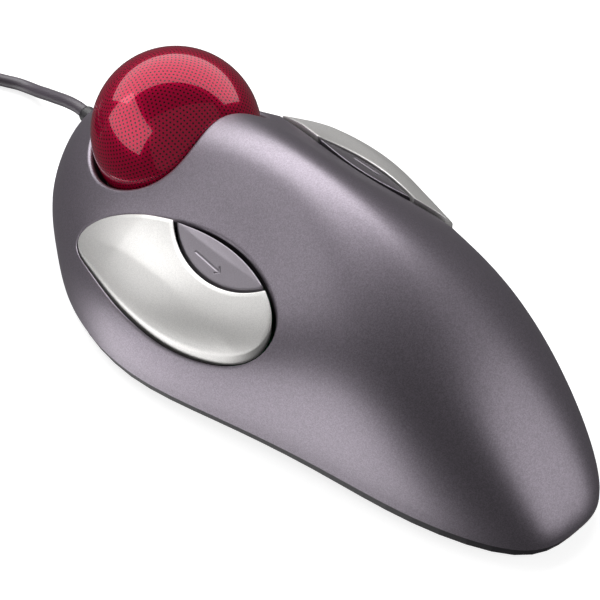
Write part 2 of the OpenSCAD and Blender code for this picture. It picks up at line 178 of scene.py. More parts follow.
def distance_to(points, line, closed=True):
    """Distance of each point to the nearest place on a line, both in the plane."""
    a = line if closed else line[:-1]
    b = np.roll(line, -1, 0) if closed else line[1:]
    best = np.full(len(points), 1e9)
    for start in range(0, len(points), 2000):
        p = points[start:start + 2000, None]
        along = ((p - a) * (b - a)).sum(2) / np.maximum(((b - a) ** 2).sum(1), 1e-12)
        near = a + np.clip(along, 0, 1)[..., None] * (b - a)
        best[start:start + 2000] = np.sqrt(((p - near) ** 2).sum(2).min(1))
    return best


def inside(points, ring):
    """Which points lie inside a closed line."""
    x, y = points[:, :1], points[:, 1:]
    a, b = ring, np.roll(ring, -1, 0)
    rises = (a[:, 1] > y) != (b[:, 1] > y)
    step = np.where(b[:, 1] == a[:, 1], 1e-9, b[:, 1] - a[:, 1])
    cross = a[:, 0] + (y - a[:, 1]) * (b[:, 0] - a[:, 0]) / step
    return (rises & (x < cross)).sum(1) % 2 == 1


def offset_ring(ring, amount):
    """A closed line moved sideways, to its left for a positive amount."""
    tangent = np.roll(ring, -1, 0) - np.roll(ring, 1, 0)
    tangent /= np.linalg.norm(tangent, axis=1)[:, None]
    return ring + amount * np.stack([-tangent[:, 1], tangent[:, 0]], 1)


def counter_clockwise(ring):
    x, y = ring.T
    area = (x * np.roll(y, -1) - np.roll(x, -1) * y).sum()
    return ring if area > 0 else ring[::-1]


def fill(loops, points, keep, warp=lambda p: p):
    """Triangles between loops and loose points, where keep is true of a triangle's middle.

    The loops come first among the points that are returned. warp spreads the plane out where
    the surface is steep, so that the triangles have a good shape there."""
    flat = np.vstack([*loops, points])
    spread_out = warp(flat)
    edges = []
    first = 0
    for loop in loops:
        n = len(loop)
        edges += [(first + i, first + (i + 1) % n) for i in range(n)]
        first += n
    out, _, faces, origin, _, _ = delaunay_2d_cdt(
        [Vector(p) for p in spread_out], edges, [], 0, 1e-7)
    source = [found[0] if found else -1 for found in origin]
    triangles = np.array([[source[v] for v in f] for f in faces])
    triangles = triangles[(triangles >= 0).all(1)]
    middle = flat[triangles].mean(1)
    return flat, triangles[keep(middle)]


def rounded_drop(distance, radius):
    """How far a rounded edge lies under the surface, at a distance from the edge."""
    d = np.clip(radius - distance, 0, radius)
    return radius - np.sqrt(np.maximum(radius**2 - d**2, 0))


def ring_steps(radius, count=6):
    """Distances from the edge at which a rounded edge gets a ring of points."""
    turns = np.linspace(0, math.pi / 2, count + 1)[:-1]
    return radius * (1 - np.sin(math.pi / 2 - turns))


def grid_in(low, high, step):
    """Points of a triangular grid in a rectangle."""
    xs = np.arange(low[0], high[0] + step, step)
    ys = np.arange(low[1], high[1] + step, step * 0.866)
    x, y = np.meshgrid(xs, ys)
    x = x + (np.arange(len(ys)) % 2)[:, None] * step / 2
    return np.stack([x.ravel(), y.ravel()], 1)


# ---- meshes ----

# Points of a mesh that are closer than this are joined
WELD = 0.0004


class Shape:
    """Points and faces of one mesh, added a piece at a time."""

    def __init__(self):
        self.points = []
        self.faces = []
        self.slots = []

    def add(self, points, faces, slot=0):
        """Adds points and faces, with the number of the faces' material."""
        start = len(self.points)
        self.points += [tuple(p) for p in points]
        self.faces += [tuple(int(v) + start for v in f) for f in faces]
        self.slots += [slot] * len(faces)

    def strip(self, upper, lower, slot=0):
        """Quads between two closed rows of the same number of points."""
        n = len(upper)
        faces = [(i, (i + 1) % n, n + (i + 1) % n, n + i) for i in range(n)]
        self.add(np.vstack([upper, lower]), faces, slot)

    def make(self, name, *materials, sharp):
        """Object of the mesh, with its close points joined and its edges past an angle sharp."""
        mesh = bpy.data.meshes.new(name)
        mesh.from_pydata([[c * MM for c in p] for p in self.points], [], self.faces)
        for material in materials:
            mesh.materials.append(material)
        mesh.polygons.foreach_set("material_index", self.slots)
        mesh.polygons.foreach_set("use_smooth", [True] * len(mesh.polygons))
        obj = bpy.data.objects.new(name, mesh)
        bpy.context.scene.collection.objects.link(obj)
        tidy = bmesh.new()
        tidy.from_mesh(mesh)
        bmesh.ops.remove_doubles(tidy, verts=tidy.verts, dist=WELD * MM)
        bmesh.ops.recalc_face_normals(tidy, faces=tidy.faces)
        tidy.to_mesh(mesh)
        tidy.free()
        mesh.set_sharp_from_angle(angle=math.radians(sharp))
        return obj


def lathe(profile, count, place):
    """Points and faces of a profile (radius, height) turned about Z, and put in place."""
    turns = np.linspace(0, 2 * math.pi, count, endpoint=False)
    points = [(r * math.cos(t), r * math.sin(t), z) for r, z in profile for t in turns]
    faces = []
    for row in range(len(profile) - 1):
        for k in range(count):
            a, b = row * count + k, row * count + (k + 1) % count
            faces.append((a, b, b + count, a + count))
    return np.array([place @ Vector(p) for p in points]), faces


def place_of(origin, turn=None):
    """Matrix that moves a shape made about Z to a place, turned if asked."""
    matrix = Matrix.Translation(Vector(origin))
    return matrix if turn is None else matrix @ turn


# ---- materials ----

def material(name, colour, metallic=0, roughness=0.5, specular=0.5, coat=0, coat_roughness=0.05,
             grain=0, grain_size=0.3, variation=0, variation_size=6, emission=0):
    """A finish with its own grain, in millimetres, and slow changes of tone."""
    made = bpy.data.materials.new(name)
    made.use_nodes = True
    tree = made.node_tree
    shader = tree.nodes["Principled BSDF"]
    shader.inputs["Metallic"].default_value = metallic
    shader.inputs["Specular IOR Level"].default_value = specular
    shader.inputs["Coat Weight"].default_value = coat
    shader.inputs["Coat Roughness"].default_value = coat_roughness
    place = tree.nodes.new("ShaderNodeTexCoord")
    slow = tree.nodes.new("ShaderNodeTexNoise")
    slow.inputs["Scale"].default_value = 1000 / variation_size
    slow.inputs["Detail"].default_value = 3
    tree.links.new(place.outputs["Object"], slow.inputs["Vector"])
    tone = tree.nodes.new("ShaderNodeMix")
    tone.data_type = "RGBA"
    tone.inputs["A"].default_value = (*[c * (1 - variation) for c in colour], 1)
    tone.inputs["B"].default_value = (*[min(1, c * (1 + variation)) for c in colour], 1)
    tree.links.new(slow.outputs["Fac"], tone.inputs["Factor"])
    tree.links.new(tone.outputs["Result"], shader.inputs["Base Color"])
    fine = tree.nodes.new("ShaderNodeTexNoise")
    fine.inputs["Scale"].default_value = 1000 / grain_size
    fine.inputs["Detail"].default_value = 2
    tree.links.new(place.outputs["Object"], fine.inputs["Vector"])
    rough = tree.nodes.new("ShaderNodeMapRange")
    rough.inputs["To Min"].default_value = roughness * 0.9
    rough.inputs["To Max"].default_value = min(1, roughness * 1.1)
    tree.links.new(fine.outputs["Fac"], rough.inputs["Value"])
    tree.links.new(rough.outputs["Result"], shader.inputs["Roughness"])
    if grain:
        bump = tree.nodes.new("ShaderNodeBump")
        bump.inputs["Strength"].default_value = grain
        bump.inputs["Distance"].default_value = 0.05 * MM
        tree.links.new(fine.outputs["Fac"], bump.inputs["Height"])
        tree.links.new(bump.outputs["Normal"], shader.inputs["Normal"])
    if emission:
        shader.inputs["Emission Color"].default_value = (1, 1, 1, 1)
        shader.inputs["Emission Strength"].default_value = emission
    return made


def flake_paint(name, colour, flake, metallic, roughness, flake_size=0.12):
    """Satin paint with metal flakes: each flake has its own tone."""
    made = material(name, colour, metallic, roughness, coat=0.25, coat_roughness=0.3,
                    variation=0.03, variation_size=30)
    tree = made.node_tree
    shader = tree.nodes["Principled BSDF"]
    place = tree.nodes["Texture Coordinate"]
    flakes = tree.nodes.new("ShaderNodeTexVoronoi")
    flakes.inputs["Scale"].default_value = 1000 / flake_size
    tree.links.new(place.outputs["Object"], flakes.inputs["Vector"])
    level = tree.nodes.new("ShaderNodeSeparateColor")
    tree.links.new(flakes.outputs["Color"], level.inputs["Color"])
    share = tree.nodes.new("ShaderNodeMapRange")
    share.inputs["To Min"].default_value = -flake
    share.inputs["To Max"].default_value = flake
    tree.links.new(level.outputs["Red"], share.inputs["Value"])
    lighten = tree.nodes.new("ShaderNodeHueSaturation")
    add_one = tree.nodes.new("ShaderNodeMath")
    add_one.inputs[1].default_value = 1
    tree.links.new(share.outputs["Result"], add_one.inputs[0])
    tree.links.new(add_one.outputs["Value"], lighten.inputs["Value"])
    tree.links.new(tree.nodes["Mix"].outputs["Result"], lighten.inputs["Color"])
    tree.links.new(lighten.outputs["Color"], shader.inputs["Base Color"])
    return made


def ball_resin():
    """Clear red resin with rows of small dark dots under a glossy surface."""
    made = material("ball_resin", (0.62, 0, 0.055), 0.5, 0.25, 0, coat=1, coat_roughness=0.01)
    tree = made.node_tree
    shader = tree.nodes["Principled BSDF"]

    def calc(operation, first, second=0.0):
        node = tree.nodes.new("ShaderNodeMath")
        node.operation = operation
        for socket, value in zip(node.inputs, (first, second)):
            if isinstance(value, bpy.types.NodeSocket):
                tree.links.new(value, socket)
            else:
                socket.default_value = value
        return node.outputs["Value"]

    # the ball's own direction: rows run round an axis that leans away from the front
    shift = tree.nodes.new("ShaderNodeMapping")
    shift.vector_type = "POINT"
    shift.inputs["Location"].default_value = [-c * MM for c in BALL_AT]
    tree.links.new(tree.nodes["Texture Coordinate"].outputs["Object"], shift.inputs["Vector"])
    lean = tree.nodes.new("ShaderNodeVectorRotate")
    lean.rotation_type = "EULER_XYZ"
    lean.inputs["Rotation"].default_value = (0.5, 0.35, 0.2)
    tree.links.new(shift.outputs["Vector"], lean.inputs["Vector"])
    axes = tree.nodes.new("ShaderNodeSeparateXYZ")
    tree.links.new(lean.outputs["Vector"], axes.inputs["Vector"])
    x, y, z = axes.outputs
    # dots stand pitch apart along a row, and rows stand 0.866 of that apart
    pitch = 1.02 / BALL_R
    row_step = pitch * 0.866
    polar = calc("ARCCOSINE", calc("DIVIDE", z, 1.001 * BALL_R * MM))
    row = calc("FLOOR", calc("DIVIDE", polar, row_step))
    middle = calc("MULTIPLY", calc("ADD", row, 0.5), row_step)
    count = calc("ROUND", calc("MULTIPLY", calc("SINE", middle), 2 * math.pi / pitch))
    turn = calc("DIVIDE", calc("ARCTAN2", y, x), 2 * math.pi)
    along = calc("ADD", calc("MULTIPLY", turn, count), calc("MULTIPLY", row, 0.5))
    across = calc("SUBTRACT", calc("FRACT", along), 0.5)
    off_row = calc("SUBTRACT", calc("DIVIDE", polar, row_step), calc("ADD", row, 0.5))
    beside = calc("MULTIPLY", off_row, row_step / pitch)
    squares = calc("ADD", calc("MULTIPLY", across, across), calc("MULTIPLY", beside, beside))
    distance = calc("SQRT", squares)
    dot = tree.nodes.new("ShaderNodeMapRange")
    dot.interpolation_type = "SMOOTHSTEP"
    dot.inputs["From Min"].default_value = 0.17
    dot.inputs["From Max"].default_value = 0.29
    tree.links.new(distance, dot.inputs["Value"])
    paint = tree.nodes.new("ShaderNodeMix")
    paint.data_type = "RGBA"
    paint.inputs["A"].default_value = (0.03, 0.006, 0.01, 1)
    tree.links.new(dot.outputs["Result"], paint.inputs["Factor"])
    tree.links.new(tree.nodes["Mix"].outputs["Result"], paint.inputs["B"])
    tree.links.new(paint.outputs["Result"], shader.inputs["Base Color"])
    return made


shell_paint = flake_paint("shell_paint", (0.205, 0.181, 0.213), 0.18, 0.8, 0.43, 0.2)
button_silver = flake_paint("button_silver", (0.66, 0.65, 0.638), 0.1, 0.75, 0.48)
button_paint = flake_paint("button_paint", (0.2, 0.182, 0.206), 0.08, 0.8, 0.42)
# near-black: the unpainted inside of the shell, and also painted shade on the walls of the gaps round
# the ball and the buttons
black_liner_and_gap_shade = material("black_liner_and_gap_shade", (0.012, 0.01, 0.012), 0, 0.5, grain=0.3)
dark_plastic = material("dark_plastic", (0.02, 0.018, 0.022), 0, 0.45, grain=0.4, variation=0.15)
foot_rubber = material("foot_rubber", (0.012, 0.012, 0.012), 0, 0.85, grain=0.7, variation=0.2)
label_film = material("label_film", (0.55, 0.55, 0.57), 0, 0.35, grain=0.15, variation=0.04)
screw_steel = material("screw_steel", (0.5, 0.5, 0.52), 1, 0.35, grain=0.3, variation=0.08)
bearing_ceramic = material("bearing_ceramic", (0.85, 0.84, 0.8), 0, 0.15, coat=0.6, variation=0.02)
ivory_plastic = material("ivory_plastic", (0.8, 0.77, 0.68), 0, 0.45, grain=0.3, variation=0.04)
board_green = material("board_green", (0.01, 0.12, 0.045), 0, 0.3, coat=0.6, variation=0.35,
                       variation_size=2)
switch_plastic = material("switch_plastic", (0.015, 0.015, 0.018), 0, 0.4, grain=0.4)
red_plastic = material("red_plastic", (0.5, 0.015, 0.015), 0, 0.4, grain=0.2, variation=0.06)
lens_clear = material("lens_clear", (0.7, 0.85, 0.9), 0, 0.06, coat=1, variation=0.02)
sleeve_blue = material("sleeve_blue", (0.02, 0.04, 0.2), 0, 0.35, coat=0.3, variation=0.1)
cable_jacket = material("cable_jacket", (0.075, 0.062, 0.078), 0, 0.42, grain=0.35,
                        grain_size=0.5, variation=0.1)
tie_black = material("tie_black", (0.012, 0.012, 0.013), 0, 0.4, grain=0.3, variation=0.1)
contact_gold = material("contact_gold", (0.85, 0.6, 0.2), 1, 0.22, grain=0.1, variation=0.04)
ball_red = ball_resin()

FINISHES = {
    "shell_paint": shell_paint, "dark_plastic": dark_plastic, "foot_rubber": foot_rubber,
    "label_film": label_film, "screw_steel": screw_steel, "ball_resin": ball_red,
    "bearing_ceramic": bearing_ceramic, "button_silver": button_silver,
    "button_paint": button_paint, "ivory_plastic": ivory_plastic, "board_green": board_green,
    "switch_plastic": switch_plastic, "red_plastic": red_plastic, "lens_clear": lens_clear,
    "sleeve_blue": sleeve_blue, "cable_jacket": cable_jacket, "tie_black": tie_black,
    "contact_gold": contact_gold,
}


def finish_cad_nodes():
    """Every CAD node that stays gets the finish that its slot in the record names."""
    for part in frame["record"]["subparts"]:
        node = frame["nodes"][part["node"]]
        node.data.materials.clear()
        node.data.materials.append(FINISHES[part["material_slot"]])


# ---- camera, floor and light ----

def aimed(place, forward, roll=0):
    """Matrix of a camera or lamp at a place, in metres, looking along forward."""
    turn = Vector(forward).to_track_quat("-Z", "Y").to_matrix().to_4x4()
    return Matrix.Translation(Vector(place)) @ turn @ Matrix.Rotation(roll, 4, "Z")


def direction(azimuth, elevation):
    """Unit vector at an azimuth from +X towards +Y and an elevation, in degrees."""
    a, e = math.radians(azimuth), math.radians(elevation)
    return Vector((math.cos(e) * math.cos(a), math.cos(e) * math.sin(a), math.sin(e)))


CAMERA_AT = (-0.2223, -0.2337, 0.3419)
CAMERA_AZIMUTH = 46.85
CAMERA_DOWN = 45.96
CAMERA_ROLL = 1.94
CAMERA_LENS = 122


def add_camera():
    lens = bpy.data.cameras.new("camera")
    lens.lens = CAMERA_LENS
    lens.sensor_width = 36
    lens.clip_end = 20
    camera = bpy.data.objects.new("camera", lens)
    camera.matrix_world = aimed(
        CAMERA_AT, direction(CAMERA_AZIMUTH, -CAMERA_DOWN), math.radians(CAMERA_ROLL))
    bpy.context.scene.collection.objects.link(camera)
    bpy.context.scene.camera = camera


def add_lamp(name, azimuth, elevation, distance, size, radiance):
    """A rectangular softbox that faces the middle of the body, of a given brightness."""
    lamp = bpy.data.lights.new(name, "AREA")
    lamp.shape = "RECTANGLE"
    lamp.size, lamp.size_y = size
    lamp.energy = radiance * math.pi * size[0] * size[1]
    obj = bpy.data.objects.new(name, lamp)
    towards = direction(azimuth, elevation)
    middle = Vector((0, 0.02, 0.02))
    obj.matrix_world = aimed(middle + towards * distance, -towards)
    obj.visible_camera = False
    bpy.context.scene.collection.objects.link(obj)
    return obj


# Softboxes as name, azimuth, elevation, distance, width and height, brightness. The low ones
# reach below the table's edge, as they do round a raised table.
BODY_LAMPS = [
    ("back_softbox", 72, 47, 1.2, (1.4, 1.0), 4.9),
    ("right_softbox", 350, 55, 1.2, (0.9, 0.9), 0.35),
    ("low_back_softbox", 60, 0, 1.2, (0.6, 0.4), 0.3),
    ("left_softbox", 136, 28, 1.2, (0.5, 0.45), 2.4),
    ("left_glow", 158, -26, 1.2, (1.1, 1.0), 3),
    ("front_fill", 292, 18, 1.2, (1.2, 1.2), 1.9),
]
BALL_LAMPS = [
    ("ball_top_softbox", 50, 41, 0.9, (3.3, 0.98), 1.6),
    ("ball_left_softbox", 152, 22, 0.8, (1.0, 0.62), 1.5),
    ("ball_fill", 250, 30, 0.9, (2.4, 1.8), 0.15),
]


def light_only(lamp, piece, state):
    """Makes a lamp light only one piece, or everything but that piece."""
    receivers = bpy.data.collections.new(lamp.name + "_receivers")
    receivers.objects.link(piece)
    receivers.collection_objects[0].light_linking.link_state = state
    lamp.light_linking.receiver_collection = receivers


def add_lamps(ball):
    for entry in BODY_LAMPS:
        light_only(add_lamp(*entry), ball, "EXCLUDE")
    for entry in BALL_LAMPS:
        light_only(add_lamp(*entry), ball, "INCLUDE")


WORLD_LIGHT = 0.08
FLOOR_GLOW = 0.8


def add_studio():
    world = bpy.data.worlds.new("studio")
    world.use_nodes = True
    background = world.node_tree.nodes["Background"]
    background.inputs["Color"].default_value = (WORLD_LIGHT, WORLD_LIGHT, WORLD_LIGHT, 1)
    bpy.context.scene.world = world
    bpy.context.scene.view_settings.view_transform = "Standard"
    mesh = bpy.data.meshes.new("floor")
    half = 4
    corners = [(-half, -half, 0), (half, -half, 0), (half, half, 0), (-half, half, 0)]
    mesh.from_pydata(corners, [], [(0, 1, 2, 3)])
    mesh.materials.append(material("floor_white", (0.5, 0.5, 0.5), 0, 0.8, specular=0.1,
                                   variation=0.004, variation_size=80, emission=FLOOR_GLOW))
    floor = bpy.data.objects.new("floor", mesh)
    bpy.context.scene.collection.objects.link(floor)
    floor.visible_glossy = False
    floor.visible_diffuse = False
    floor.visible_shadow = False


# ---- cable ----

CABLE_ROUTE = [
    (0, 84, 9.5), (0, 86, 9.5), (0, 88.3, 9.1), (0, 91.5, 8.2), (0, 95.5, 6.7), (0, 100, 5),
    (0.1, 104, 3.3), (-0.1, 108, 2.1), (-1.1, 111.5, 1.7), (-3, 115, 1.6), (-6.2, 121, 1.6),
    (-9.1, 127, 1.6), (-11.6, 132.8, 1.6), (-13.4, 138, 1.6), (-15, 143.1, 1.6),
]
COIL_AT = np.array([-38, 139])
COIL_COLUMNS = [23.4, 20.1, 16.8, 13.5]
COIL_LAYERS = [1.6, 4.85, 8.1, 11.35]
COIL_START = math.radians(10)
# Column and layer of each turn, from the outside of the bottom layer up to the top one
COIL_TURNS = [(0, 0), (1, 0), (2, 0), (3, 0), (3, 1), (2, 1), (1, 1), (0, 1), (0, 2), (1, 2),
              (2, 2), (3, 2), (3, 3), (2, 3), (1, 3), (0, 3)]
PLUG_TAIL = np.array([-38, 161, 17])
PLUG_TURN = math.radians(210)


def smooth_share(t):
    return t * t * (3 - 2 * t)


def through(points, steps):
    """Catmull-Rom line through points."""
    p = np.array(points, float)
    p = np.vstack([2 * p[0] - p[1], p, 2 * p[-1] - p[-2]])
    a, b, c, d = p[:-3], p[1:-2], p[2:-1], p[3:]
    parts = []
    for t in np.arange(steps) / steps:
        parts.append(0.5 * (2 * b + (c - a) * t + (2 * a - 5 * b + 4 * c - d) * t**2
                            + (3 * b - a - 3 * c + d) * t**3))
    return np.vstack([np.stack(parts, 1).reshape(-1, 3), p[-2]])


def coil_line():
    """Turns of the coil, a point every ten degrees. A turn shifts to the next in its last part."""
    points = []
    per_turn = 36
    past_last = 3
    shift_from = 0.62
    for k in range(per_turn * (len(COIL_TURNS) - 1) + past_last):
        turns = k / per_turn
        this = min(int(turns), len(COIL_TURNS) - 1)
        following = min(this + 1, len(COIL_TURNS) - 1)
        share = smooth_share(max(0, (turns - this - shift_from) / (1 - shift_from)))
        radius, height = (
            (1 - share) * levels[COIL_TURNS[this][axis]]
            + share * levels[COIL_TURNS[following][axis]]
            for axis, levels in enumerate((COIL_COLUMNS, COIL_LAYERS)))
        angle = COIL_START + 2 * math.pi * turns
        x, y = COIL_AT + radius * np.array([math.cos(angle), math.sin(angle)])
        points.append((x, y, height))
    return points


def lead_to_plug(coil, heading):
    """Curve from the end of the coil up into the plug, which points along heading."""
    start, before = np.array(coil[-1]), np.array(coil[-2])
    leaving = (start - before) / np.linalg.norm(start - before)
    first, second = start + 11 * leaving, PLUG_TAIL - 7.5 * heading
    t = np.linspace(0, 1, 10)[1:, None]
    return ((1 - t) ** 3 * start + 3 * (1 - t) ** 2 * t * first
            + 3 * (1 - t) * t**2 * second + t**3 * PLUG_TAIL)


def cable_sleeve():
    """Ribbed sleeve where the cable leaves the nose."""
    profile = [(0, 72), (3.6, 72), (3.6, 73.6), (SLEEVE_R, 73.6), (SLEEVE_R, 82.6),
               (2.14, 83.2), (1.9, 83.8), (1.7, 84), (1.62, 83.9), (1.62, 83), (0, 83)]
    shape = Shape()
    forward = Matrix.Rotation(-math.pi / 2, 4, "X")
    shape.add(*lathe(profile, 48, place_of((0, 0, CABLE_Z), forward)))
    obj = shape.make("cable_sleeve", dark_plastic, sharp=30)
    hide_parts("strain_relief")
    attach(obj, "root")
    return obj


def add_cable(sleeve):
    """The free cable: out of the nose, down to the table, into its coil and up to its plug."""
    heading = np.array([math.cos(PLUG_TURN), math.sin(PLUG_TURN), 0])
    coil = coil_line()
    lead = lead_to_plug(coil, heading)
    line = through(np.vstack([CABLE_ROUTE, coil[1:], lead, [PLUG_TAIL + 2 * heading]]), 4)
    curve = bpy.data.curves.new("cable_jacket", "CURVE")
    curve.dimensions = "3D"
    spline = curve.splines.new("POLY")
    spline.points.add(len(line) - 1)
    spline.points.foreach_set("co", np.hstack([line * MM, np.ones((len(line), 1))]).ravel())
    curve.bevel_depth = CABLE_D / 2 * MM
    curve.bevel_resolution = 5
    curve.use_fill_caps = True
    curve.materials.append(cable_jacket)
    cable = bpy.data.objects.new("free_cable", curve)
    bpy.context.scene.collection.objects.link(cable)
    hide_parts("cable", "cable_coil")
    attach(cable, "root")
    print("cable length", round(float(length_along(line)[-1]), 1))


add_camera()
add_studio()
add_cable(cable_sleeve())

# ---- shell ----

RIM_ROUND = 0.9
EDGE_ROUND = 0.55
COLLAR_WALL = 2
SCREW_PLACES = [(17.5, 65.5), (-17.5, 65.5), (14, -48), (-14, -48)]
# Share of the way to the outline where the plan starts to be spread out, how far it is spread,
# and the share past which a point counts as on the outline
STRETCH_FROM = 0.85
STRETCH_BY = 0.27
ON_OUTLINE = 0.9992
# Spacing of the points of the outer and the inner skin, and their least gap to an opening
SKIN_STEP = 0.9
INNER_STEP = 4
OPENING_GAP = 1.35


def leaf_ring(step):
    return counter_clockwise(evenly(closed_spline(LEAF_POINTS, 16), step, closed=True))


def opening_ring():
    """Outline of the right flank's opening, a little larger than the leaf of its buttons."""
    wider, longer, gap = 1.07, 1.012, 0.15
    ring = LEAF_TIP + (leaf_ring(0.7) - LEAF_TIP) * (wider, longer)
    return offset_ring(ring, -gap)


def stretch(points):
    """Spreads the plan out near the outline, where the skin turns down."""
    reach = np.hypot(*points.T)
    share = reach / edge_r(*points.T)
    past = np.clip((share - STRETCH_FROM) / (1 - STRETCH_FROM), 0, 1)
    past = np.where(share > ON_OUTLINE, 1, past)
    wide = np.where(share > STRETCH_FROM, STRETCH_FROM + STRETCH_BY * np.arcsin(past), share)
    return points * (wide / np.maximum(share, 1e-9))[:, None]


def unstretch(points):
    reach = np.hypot(*points.T)
    wide = reach / edge_r(*points.T)
    past = np.clip((wide - STRETCH_FROM) / STRETCH_BY, 0, math.pi / 2)
    share = np.where(wide > STRETCH_FROM, STRETCH_FROM + (1 - STRETCH_FROM) * np.sin(past), wide)
    return points * (share / np.maximum(wide, 1e-9))[:, None]


def socket_profiles(count, radius, rounding, inset=0):
    """For each direction round the ball: centre of the rounding between socket and skin.

    Returns the directions, the angle of the centre above the ball's equator, and the slope
    of the skin there."""
    around = np.linspace(0, 2 * math.pi, count, endpoint=False)

    def height_over(reach):
        return skin_z(reach * np.cos(around), BALL_AT[1] + reach * np.sin(around), inset)

    low, high = np.full(count, -1.2), np.full(count, 1.5)
    for _ in range(40):
        middle = (low + high) / 2
        reach = (radius + rounding) * np.cos(middle)
        height = BALL_AT[2] + (radius + rounding) * np.sin(middle)
        slope = (height_over(reach + 0.05) - height_over(reach - 0.05)) / 0.1
        under = (height_over(reach) - height) / np.sqrt(1 + slope**2) > rounding
        low, high = np.where(under, middle, low), np.where(under, high, middle)
    return around, low, np.arctan(slope)


def socket_points(around, reach, height):
    """Points round the ball from their distance to its upright axis and their height."""
    return np.stack([reach * np.cos(around), BALL_AT[1] + reach * np.sin(around), height], 1)


def socket_rows(count=200):
    """Rows of points from the skin over the rounded rim and down the socket's wall."""
    around, centre, slope = socket_profiles(count, SOCKET_R, RIM_ROUND)
    reach = (SOCKET_R + RIM_ROUND) * np.cos(centre)
    height = BALL_AT[2] + (SOCKET_R + RIM_ROUND) * np.sin(centre)
    rows = []
    for share in np.linspace(0, 1, 9):
        turn = (1 - share) * (math.pi / 2 + slope) + share * (math.pi + centre)
        rows.append(socket_points(around, reach + RIM_ROUND * np.cos(turn),
                                  height + RIM_ROUND * np.sin(turn)))
    rows[0][:, 2] = skin_z(rows[0][:, 0], rows[0][:, 1])
    foot = math.asin((CUP_TOP - BALL_AT[2]) / SOCKET_R)
    for share in np.linspace(0, 1, 8)[1:]:
        turn = (1 - share) * centre + share * foot
        rows.append(socket_points(around, SOCKET_R * np.cos(turn),
                                  BALL_AT[2] + SOCKET_R * np.sin(turn)))
    return rows


def collar_rows(count=200):
    """Rows of points up the outside of the socket's collar, from its foot to the inner skin."""
    outer_r = SOCKET_R + COLLAR_WALL
    around, top, _ = socket_profiles(count, outer_r, 0, WALL)
    foot = math.asin((CUP_TOP - BALL_AT[2]) / outer_r)
    rows = []
    for share in np.linspace(0, 1, 6):
        turn = (1 - share) * foot + share * np.maximum(top, foot + 0.01)
        rows.append(socket_points(around, outer_r * np.cos(turn),
                                  BALL_AT[2] + outer_r * np.sin(turn)))
    return rows


def lifted(points, height):
    return np.column_stack([points, height])


def opening_foot(ring):
    """Height of the foot of an opening's wall, where it meets the inner skin."""
    highest = skin_z(*ring.T) - EDGE_ROUND - 0.3
    return np.minimum(np.maximum(skin_z(*ring.T, WALL), SEAM_Z + 1), highest)


